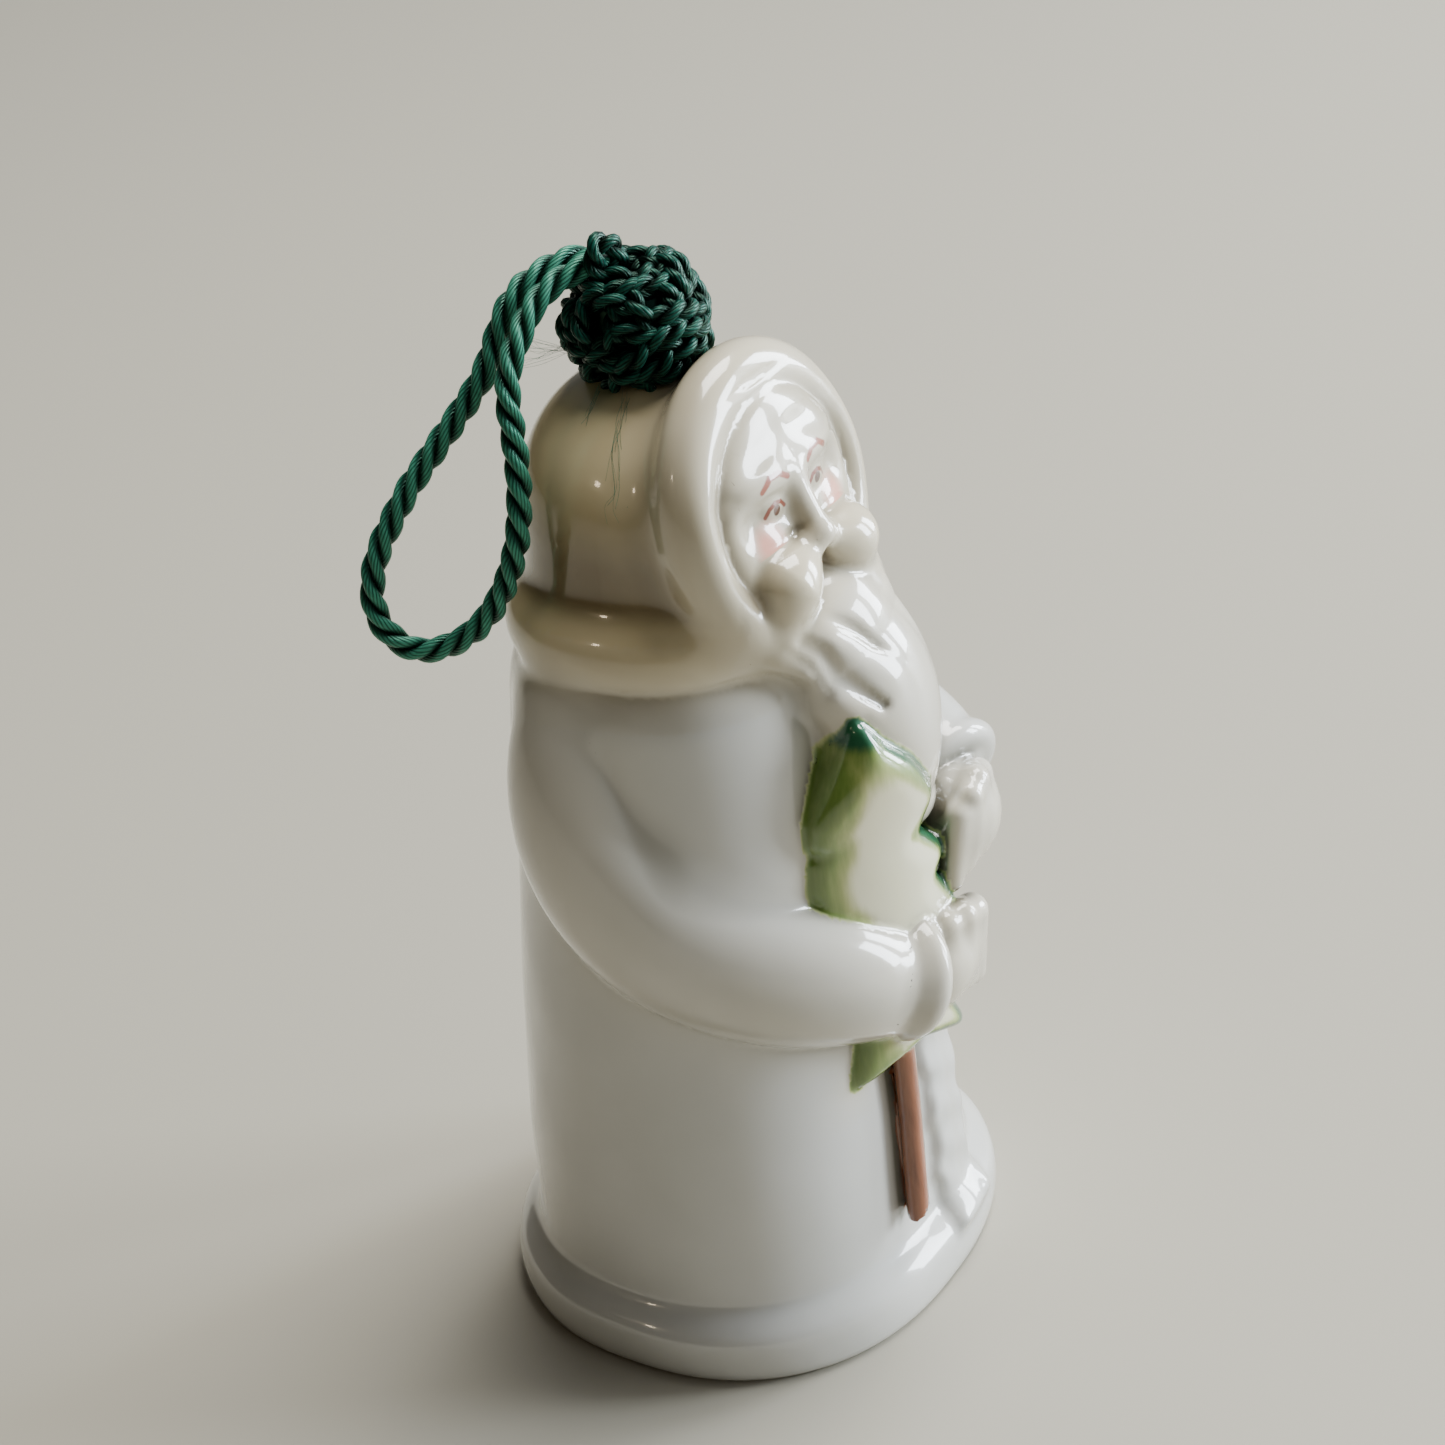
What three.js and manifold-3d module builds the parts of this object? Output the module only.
// A porcelain bell ornament: a hooded, bearded winter figure that holds a small fir tree.
// The hem of the robe is the bell's mouth. A twisted cord comes out of the crown through a ball of
// small cord loops and makes the hanging loop; inside, it carries the clapper.
// Millimetres, +Z up, the figure faces -Y, origin on the table under the middle of the figure.
import * as THREE from 'three';
import { mergeVertices } from 'three/addons/utils/BufferGeometryUtils.js';
import Module from 'manifold-3d';

const wasm = await Module();
wasm.setup();

// ---- driving dimensions -------------------------------------------------------------------------

const section = { depthRatio: 0.93, squareness: 2.3 }; // the body's oval, seen from above
const gap = 0.3; // between neighbouring castings
const setBack = 1.7; // puts the origin under the middle of the whole depth, hands included
const shoulderHeight = 62.6; // where the hood sits on the robe
const crownHeight = 84.1;
const crownHole = 2.1; // radius
const cordRadius = 1.1;
const cordBall = { radius: 5.8, height: 87.8 };
const passageRadius = 1.5; // the two strands in the crown hole
const clapper = {
  pivotHeight: 78.6,
  beadRadius: 5.2,
  beadHeight: 23,
  stopKnot: [2.6, 2.6, 2],
  endKnot: [2.1, 2.1, 1.7],
};
const faceTilt = THREE.MathUtils.degToRad(12); // the face and its rim lean back

// Half width and height of the porcelain, outside and inside, from the mouth up.
const robeOutside = [
  [20.9, 0], [21.5, 1.3], [21.5, 3.8], [20.9, 5.3], [19.6, 6.4],
  [18.4, 20], [16.6, 40], [15.2, 56], [14.7, 60], [13.9, shoulderHeight],
];
const robeInside = [
  [11.2, shoulderHeight], [12.7, 56], [14.2, 40], [16, 20], [17.2, 7], [18.7, 0],
];
const hoodOutside = [
  [13.5, shoulderHeight + gap], [14, 64.6], [13.6, 66.8], [12.5, 68.7], [12, 70.5],
  [11.6, 74.5], [10.8, 77.5], [9.2, 80.3], [6.8, 82.5], [4, 83.8], [crownHole, crownHeight],
];
const hoodInside = [
  [crownHole, 81.6], [4.6, 80.7], [7.2, 78.4], [8.8, 75], [9.5, 70], [10.6, 66],
  [11.1, shoulderHeight + gap],
];

// The hanging loop's middle line, from the front strand at the ball, down, round and back up.
const loopRoute = [
  [-2.1, 1.4, 92.8], [-3.7, 2.8, 92.6], [-5.6, 3.7, 92.0], [-7.5, 4.2, 90.8], [-9.2, 4.3, 89.3],
  [-10.6, 4.4, 87.7], [-11.6, 4.2, 85.7], [-12.3, 3.7, 83.0], [-13.0, 3.3, 79.9],
  [-13.6, 3.4, 76.7], [-14.0, 3.9, 74.2], [-14.4, 4.9, 71.6], [-15.0, 6.4, 69.0],
  [-15.9, 8.2, 67.1], [-16.9, 10.3, 66.0], [-17.9, 12.3, 66.0], [-18.5, 13.9, 67.2],
  [-18.7, 14.8, 69.1], [-18.3, 15.0, 71.4], [-17.4, 14.6, 73.8], [-16.2, 13.7, 76.1],
  [-14.8, 12.7, 78.3], [-13.4, 11.6, 80.2], [-12.0, 10.4, 82.1], [-10.7, 9.3, 83.9],
  [-9.5, 8.2, 85.8], [-8.2, 7.6, 87.9], [-7.1, 7.1, 89.9], [-5.6, 6.6, 91.4],
  [-3.4, 5.7, 92.3], [-1.4, 4.4, 92.7], [-0.3, 3.1, 92.8],
];

// ---- materials ----------------------------------------------------------------------------------

const finish = (color, roughness) => new THREE.MeshStandardMaterial({ color, roughness });
const robeGlaze = () => finish(0xe9e7e0, 0.12);
const warmGlaze = () => finish(0xe8e2d0, 0.12);
const leafGlaze = () => finish(0x6f9150, 0.18);
const barkGlaze = () => finish(0x8a4a30, 0.2);
const satinCord = () => finish(0x0f5b45, 0.6);

// ---- solids -------------------------------------------------------------------------------------

function solid(geometry) {
  const bare = geometry.clone();
  bare.deleteAttribute('normal');
  bare.deleteAttribute('uv');
  const merged = mergeVertices(bare, 1e-4);
  return new wasm.Manifold(new wasm.Mesh({
    numProp: 3,
    vertProperties: new Float32Array(merged.attributes.position.array),
    triVerts: new Uint32Array(merged.index.array),
  }));
}

function joined(...solids) {
  return solids.reduce((whole, next) => whole.add(next));
}

function without(whole, ...cutters) {
  return cutters.reduce((left, cutter) => left.subtract(cutter), whole);
}

// Only the largest body is kept, so that a cut leaves no loose slivers.
function largest(whole) {
  return whole.decompose().reduce((best, part) => (part.volume() > best.volume() ? part : best));
}

function mesh(name, whole, material) {
  const { vertProperties, triVerts } = largest(whole).getMesh();
  const geometry = new THREE.BufferGeometry();
  geometry.setAttribute('position', new THREE.BufferAttribute(vertProperties, 3));
  geometry.setIndex(new THREE.BufferAttribute(triVerts, 1));
  geometry.computeVertexNormals();
  const piece = new THREE.Mesh(geometry, material);
  piece.name = name;
  return piece;
}

// ---- forms --------------------------------------------------------------------------------------

// The figure leans a little forward between its knees and its hood.
function lean(height) {
  const forward = THREE.MathUtils.smoothstep(height, 20, 56);
  const back = THREE.MathUtils.smoothstep(height, 74, crownHeight);
  return -0.8 * (forward - back);
}

// A turned form with the figure's squarish oval section.
function turned(profile, sides) {
  const points = profile.map(([radius, height]) => new THREE.Vector2(radius, height));
  const geometry = new THREE.LatheGeometry(points, sides).rotateX(Math.PI / 2);
  const position = geometry.attributes.position;
  for (let i = 0; i < position.count; i += 1) {
    const [x, y, z] = [position.getX(i), position.getY(i), position.getZ(i)];
    const radius = Math.hypot(x, y);
    if (radius < 1e-6) continue;
    const { squareness, depthRatio } = section;
    const corner = ((Math.abs(x) / radius) ** squareness
      + (Math.abs(y) / radius) ** squareness) ** (1 / squareness);
    // the crown hole stays round, and the oval grows in below it
    const oval = THREE.MathUtils.smoothstep(radius, crownHole, 7);
    const stretch = THREE.MathUtils.lerp(1, 1 / corner, oval);
    const depth = THREE.MathUtils.lerp(1, depthRatio, oval);
    position.setXYZ(i, x * stretch, y * stretch * depth + lean(z), z);
  }
  return solid(geometry);
}

// A closed shell between two profiles.
function shell(outside, inside, sides) {
  return turned([...outside, ...inside, outside[0]], sides);
}

// The filled outer form, with its skin moved out by grow.
function filled(profile, sides, grow = 0) {
  const first = profile[0];
  const last = profile[profile.length - 1];
  const skin = profile.map(([radius, height]) => [radius + grow, height]);
  return turned(
    [[0, first[1] - grow], [first[0] + grow, first[1] - grow], ...skin,
      [last[0] + grow, last[1] + grow], [0, last[1] + grow]],
    sides,
  );
}

function ball([x, y, z], [rx, ry, rz], grow = 0, sides = 14) {
  const geometry = new THREE.SphereGeometry(1, sides, Math.round(sides * 0.6));
  geometry.scale(rx + grow, ry + grow, rz + grow).translate(x, y, z);
  return solid(geometry);
}

// A bent rod whose radius changes along its route, with rounded ends.
function limb(route, radii, grow = 0, sides = 12, steps = 8) {
  const curve = new THREE.CatmullRomCurve3(route.map((point) => new THREE.Vector3(...point)));
  const frames = curve.computeFrenetFrames(steps, false);
  const radiusAt = (share) => {
    const place = share * (radii.length - 1);
    const i = Math.min(Math.floor(place), radii.length - 2);
    return THREE.MathUtils.lerp(radii[i], radii[i + 1], place - i) + grow;
  };
  const geometry = new THREE.CylinderGeometry(1, 1, 1, sides, steps);
  const position = geometry.attributes.position;
  const point = new THREE.Vector3();
  for (let i = 0; i < position.count; i += 1) {
    const step = Math.round((position.getY(i) + 0.5) * steps);
    const radius = radiusAt(step / steps);
    point.copy(curve.getPointAt(step / steps));
    point.addScaledVector(frames.binormals[step], position.getX(i) * radius);
    point.addScaledVector(frames.normals[step], position.getZ(i) * radius);
    position.setXYZ(i, point.x, point.y, point.z);
  }
  const start = radiusAt(0);
  const end = radiusAt(1);
  return joined(
    solid(geometry),
    ball(route[0], [start, start, start], 0, sides),
    ball(route[route.length - 1], [end, end, end], 0, sides),
  );
}

// A tube of constant section along a route.
function cordTube(route, radius, steps, sides = 8) {
  const outline = new THREE.Shape();
  for (let i = 0; i < sides; i += 1) {
    const angle = (i / sides) * 2 * Math.PI;
    const place = [radius * Math.cos(angle), radius * Math.sin(angle)];
    if (i === 0) outline.moveTo(...place);
    else outline.lineTo(...place);
  }
  const curve = new THREE.CatmullRomCurve3(route.map((point) => new THREE.Vector3(...point)));
  return solid(new THREE.ExtrudeGeometry(outline, { extrudePath: curve, steps }));
}

// ---- the robe and the hood ----------------------------------------------------------------------

const bodySides = 32;
const robe = shell(robeOutside, robeInside, bodySides);
const robeBlock = filled(robeOutside, bodySides, gap);
const hoodBlock = filled(hoodOutside, bodySides, gap);

// The face opening: an oval cylinder along the face's own direction.
const face = {
  centre: [0, -9.8, 73.6],
  halfWidth: 8.4,
  halfHeight: 9.8,
  openingDepth: 9, // in front of the centre
  head: { centre: [0, -9.2, 74.2], size: [8.6, 4.6, 10.2] },
  nose: { centre: [0, -13.4, 73.2], size: [1.4, 1.8, 1.8] },
};

function faceOval(grow, back) {
  const length = back + face.openingDepth;
  const geometry = new THREE.CylinderGeometry(1, 1, length, 20);
  geometry.scale(face.halfWidth + grow, 1, face.halfHeight + grow);
  geometry.translate(0, back - length / 2, 0).rotateX(-faceTilt);
  geometry.translate(face.centre[0], face.centre[1], face.centre[2]);
  return solid(geometry);
}

function faceFront(grow = 0) {
  return joined(
    ball(face.head.centre, face.head.size, grow, 16),
    ball(face.nose.centre, face.nose.size, grow, 8),
  );
}

const faceForm = faceFront().intersect(faceOval(0, 4));
const hoodShell = without(
  shell(hoodOutside, hoodInside, bodySides),
  faceOval(gap, 5.6),
);

// ---- arms ---------------------------------------------------------------------------------------

const rightArm = {
  sleeve: [[-11.8, 1.6, 58.6], [-13.6, 1.8, 52], [-13.9, 0, 45.6], [-13.4, -5, 41],
    [-11.2, -10.6, 38], [-7.6, -14.8, 35.4], [-4.4, -17, 33.8]],
  sleeveRadii: [3.6, 5.5, 6, 6, 6, 5.6, 5.2],
  cuff: [[-2.6, -17.6, 33.2], [-0.2, -18.2, 32]],
  cuffRadii: [5.6, 5.4],
  mitten: [3.4, -18.6, 31.2],
  mittenSize: [4.6, 4.6, 5],
  fingers: [6.6, -19.2, 31],
};
const leftArm = {
  sleeve: [[11.8, 1.6, 58.6], [14, 1, 53], [14.6, -3.4, 49], [14.2, -9, 47], [13.2, -13.4, 45.6]],
  sleeveRadii: [3.6, 5.4, 5.6, 5.4, 5],
  cuff: [[12.6, -16, 44.6], [11.4, -17.8, 43.6]],
  cuffRadii: [4.9, 4.8],
  mitten: [9.4, -18.8, 41.8],
  mittenSize: [4.2, 4, 4.8],
  fingers: [7.6, -19.6, 40.8],
};

function sleeve(arm, grow = 0) {
  return limb(arm.sleeve, arm.sleeveRadii, grow);
}

function cuff(arm, grow = 0) {
  return limb(arm.cuff, arm.cuffRadii, grow, 12, 2);
}

// A fist with four finger ridges down its front.
const finger = { size: [2.6, 3.4, 1.35], top: 3.4, pitch: 2.3 };

function mitten(arm, grow = 0) {
  const [x, y, z] = arm.fingers;
  const ridges = [0, 1, 2, 3].map((i) => ball(
    [x, y, z + finger.top - finger.pitch * i],
    finger.size,
    grow,
    8,
  ));
  return joined(ball(arm.mitten, arm.mittenSize, grow, 12), ...ridges);
}

// ---- beard, moustache, rim, trim ----------------------------------------------------------------

// The beard is wide under the chin and runs down the chest to a blunt point.
const beard = {
  chin: [0, -11.2, 63],
  chinSize: [8.2, 5.4, 4],
  route: [[0.1, -10.4, 62.4], [0.4, -12.4, 58], [1, -14.6, 53.4], [1.8, -17, 48.4]],
  radii: [6.4, 6.8, 5.8, 3.4],
};
const moustache = { x: 3.4, y: -13.2, z: 68.6, size: [4, 3, 2.6] };
const rim = { radius: 9.9, thickness: 2.1, height: 1.1, depth: 1.15 };

function beardForm(grow = 0) {
  return joined(ball(beard.chin, beard.chinSize, grow), limb(beard.route, beard.radii, grow));
}

function moustacheForm(grow = 0) {
  const { x, y, z, size } = moustache;
  return joined(ball([-x, y, z], size, grow, 12), ball([x, y, z], size, grow, 12));
}

// The fur rim is a ring round the face, higher than it is wide.
function rimForm(grow = 0) {
  const geometry = new THREE.TorusGeometry(rim.radius, rim.thickness + grow, 8, 24);
  geometry.scale(1, rim.height, rim.depth).rotateX(Math.PI / 2 - faceTilt);
  geometry.translate(face.centre[0], face.centre[1], face.centre[2]);
  return solid(geometry);
}

// A rippled fur strip from under the hands to the hem.
const trim = { left: 2.3, right: 8.3, bottom: 7, top: 25, step: 2, proud: 1.5, back: -9, depth: 12 };

function trimForm() {
  const outline = new THREE.Shape();
  const ripple = (height) => 0.35 * Math.sin(height * 1.1);
  const count = (trim.top - trim.bottom) / trim.step;
  const heights = Array.from({ length: count + 1 }, (_, i) => trim.bottom + i * trim.step);
  outline.moveTo(trim.left + ripple(trim.bottom), trim.bottom);
  heights.slice(1).forEach((height) => outline.lineTo(trim.left + ripple(height), height));
  heights.reverse().forEach((height) => outline.lineTo(trim.right + ripple(height), height));
  const strip = new THREE.ExtrudeGeometry(outline, { depth: trim.depth, bevelEnabled: false });
  strip.rotateX(Math.PI / 2).translate(0, trim.back, 0);
  return solid(strip).intersect(filled(robeOutside, bodySides, trim.proud));
}

// ---- the fir tree -------------------------------------------------------------------------------

// Tiers from the top down, each a short cone half sunk in the robe's front.
const tree = { x: -1.6, y: -16.2, apex: 55.3, apexWidth: 0.25, lean: 0.02, overlap: 5 };
const tiers = [
  { halfWidth: 6.2, tip: 44.2, depth: 4.9 },
  { halfWidth: 6.6, tip: 38, depth: 4.4 },
  { halfWidth: 6.6, tip: 31.4, depth: 3.2 },
  { halfWidth: 5.8, tip: 23.6, depth: 2.9 },
];

function treeForm(grow = 0) {
  const cones = tiers.map(({ halfWidth, tip, depth }, i) => {
    const top = (i === 0 ? tree.apex : tiers[i - 1].tip + tree.overlap) + grow;
    const bottom = tip - grow;
    const geometry = new THREE.CylinderGeometry(tree.apexWidth, 1, top - bottom, 12);
    geometry.rotateX(Math.PI / 2).scale(halfWidth + grow, depth + grow, 1);
    geometry.translate(tree.x + tree.lean * (tree.apex - tip), tree.y, (top + bottom) / 2);
    return solid(geometry);
  });
  return joined(...cones);
}

const trunk = {
  route: [[-1.5, -17.3, 25], [-2.1, -17.9, 17], [-3.2, -18.3, 10.8]],
  radii: [1.25, 1.2, 1.15],
};

function trunkForm(grow = 0) {
  return limb(trunk.route, trunk.radii, grow, 10, 5);
}

// ---- the cord -----------------------------------------------------------------------------------

function ballOfCord(grow = 0) {
  const { radius, height } = cordBall;
  return ball([0, 0, height], [radius, radius, radius], grow, 18);
}

function uprightRod(radius, low, high, sides = 12) {
  const geometry = new THREE.CylinderGeometry(radius, radius, high - low, sides);
  return solid(geometry.rotateX(Math.PI / 2).translate(0, 0, (low + high) / 2));
}

const { pivotHeight, beadRadius, beadHeight } = clapper;
const stopKnotHalf = clapper.stopKnot[2];
const endKnotHeight = beadHeight - beadRadius - gap - clapper.endKnot[2];
const ballOnCrown = without(ballOfCord(), hoodBlock, rimForm(gap));
const passage = uprightRod(passageRadius, pivotHeight + stopKnotHalf + gap, crownHeight + gap);
const stopKnot = ball([0, 0, pivotHeight], clapper.stopKnot, 0, 12);
const clapperCord = uprightRod(
  cordRadius,
  beadHeight + beadRadius + gap,
  pivotHeight - stopKnotHalf - gap,
  8,
);
const bead = ball([0, 0, beadHeight], [beadRadius, beadRadius, beadRadius], 0, 18);
const endKnot = ball([0, 0, endKnotHeight], clapper.endKnot, 0, 12);
const loopTube = cordTube(loopRoute.slice(1, -1), cordRadius, 48);

// ---- assembly: every casting is cut clear of the ones it is luted to ----------------------------

const figure = new THREE.Group();
figure.position.y = setBack;
figure.add(
  mesh('robe_shell', robe, robeGlaze()),
  mesh('hood_shell', hoodShell, warmGlaze()),
  mesh('face', without(faceForm, moustacheForm(gap), beardForm(gap)), warmGlaze()),
  mesh('hood_rim', without(rimForm(), hoodBlock, robeBlock, faceFront(gap), beardForm(gap)),
    warmGlaze()),
  mesh('moustache', without(moustacheForm(), rimForm(gap), beardForm(gap), hoodBlock),
    warmGlaze()),
  mesh('beard', without(beardForm(), robeBlock, hoodBlock, treeForm(gap)), warmGlaze()),
  mesh('right_sleeve', without(sleeve(rightArm), robeBlock, hoodBlock, treeForm(gap)),
    robeGlaze()),
  mesh('right_cuff', without(cuff(rightArm), robeBlock, treeForm(gap), sleeve(rightArm, gap)),
    robeGlaze()),
  mesh('right_mitten', without(
    mitten(rightArm),
    robeBlock,
    treeForm(gap),
    cuff(rightArm, gap),
    sleeve(rightArm, gap),
  ), robeGlaze()),
  mesh('left_sleeve', without(sleeve(leftArm), robeBlock, hoodBlock, beardForm(gap)),
    robeGlaze()),
  mesh('left_cuff', without(cuff(leftArm), robeBlock, sleeve(leftArm, gap), beardForm(gap)),
    robeGlaze()),
  mesh('left_mitten', without(
    mitten(leftArm),
    robeBlock,
    treeForm(gap),
    cuff(leftArm, gap),
    sleeve(leftArm, gap),
    beardForm(gap),
    mitten(rightArm, gap),
  ), robeGlaze()),
  mesh('fir_tree', without(treeForm(), robeBlock), leafGlaze()),
  mesh('tree_trunk', without(trunkForm(), robeBlock, treeForm(gap)), barkGlaze()),
  mesh('front_trim', without(
    trimForm(),
    robeBlock,
    treeForm(gap),
    trunkForm(gap),
    mitten(rightArm, gap),
  ), robeGlaze()),
  mesh('cord_ball', ballOnCrown, satinCord()),
  mesh('crown_cord', passage, satinCord()),
  mesh('stop_knot', stopKnot, satinCord()),
  mesh('hanging_loop', without(loopTube, ballOfCord(gap)), satinCord()),
  mesh('clapper_cord', clapperCord, satinCord()),
  mesh('clapper_bead', bead, warmGlaze()),
  mesh('clapper_end_knot', endKnot, satinCord()),
);

export default figure;
